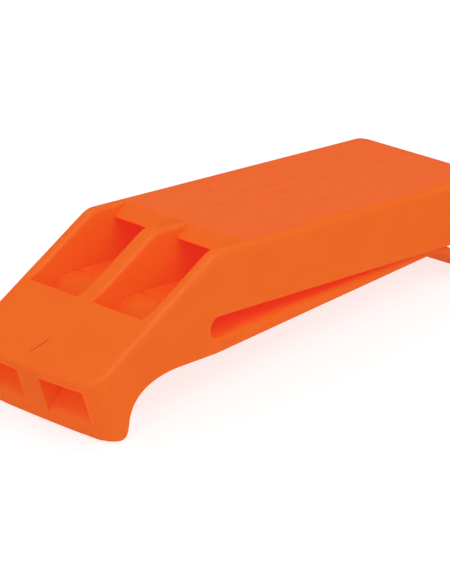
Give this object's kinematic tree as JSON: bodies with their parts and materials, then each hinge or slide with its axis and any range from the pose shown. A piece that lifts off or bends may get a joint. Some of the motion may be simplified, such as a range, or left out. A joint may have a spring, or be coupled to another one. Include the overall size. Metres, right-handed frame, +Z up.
{
  "type": "rescue whistle",
  "caption": "Flat pealess rescue whistle in bright orange plastic with side-by-side sound chambers, a raked mouthpiece with a bite lip, and a moulded spring clip underneath.",
  "frame": {"origin": "middle of the bounding box's footprint, on the surface the whistle stands on", "axes": "+X from the mouthpiece to the rear end, +Y to the left of the person blowing, +Z up"},
  "size_m": [0.0678, 0.02, 0.0173],
  "materials": {
    "shell": "satin orange, slightly translucent, with a finely grained top panel",
    "insert": "satin orange, slightly translucent"
  },
  "bodies": {
    "whistle": {"whistle_body": "shell", "fipple_block_left": "insert", "fipple_block_right": "insert", "chamber_plug_left": "insert", "chamber_plug_right": "insert"},
    "clip": {"clip_arm": "shell"}
  },
  "joints": [
    {"name": "clip_flex", "type": "hinge", "parent": "whistle", "child": "clip", "pos_m": [-0.01418, 0, 0.00621], "axis": [0, 1, 0], "range_deg": [0, 8], "stiffness_Nm_per_rad": 0.12}
  ]
}
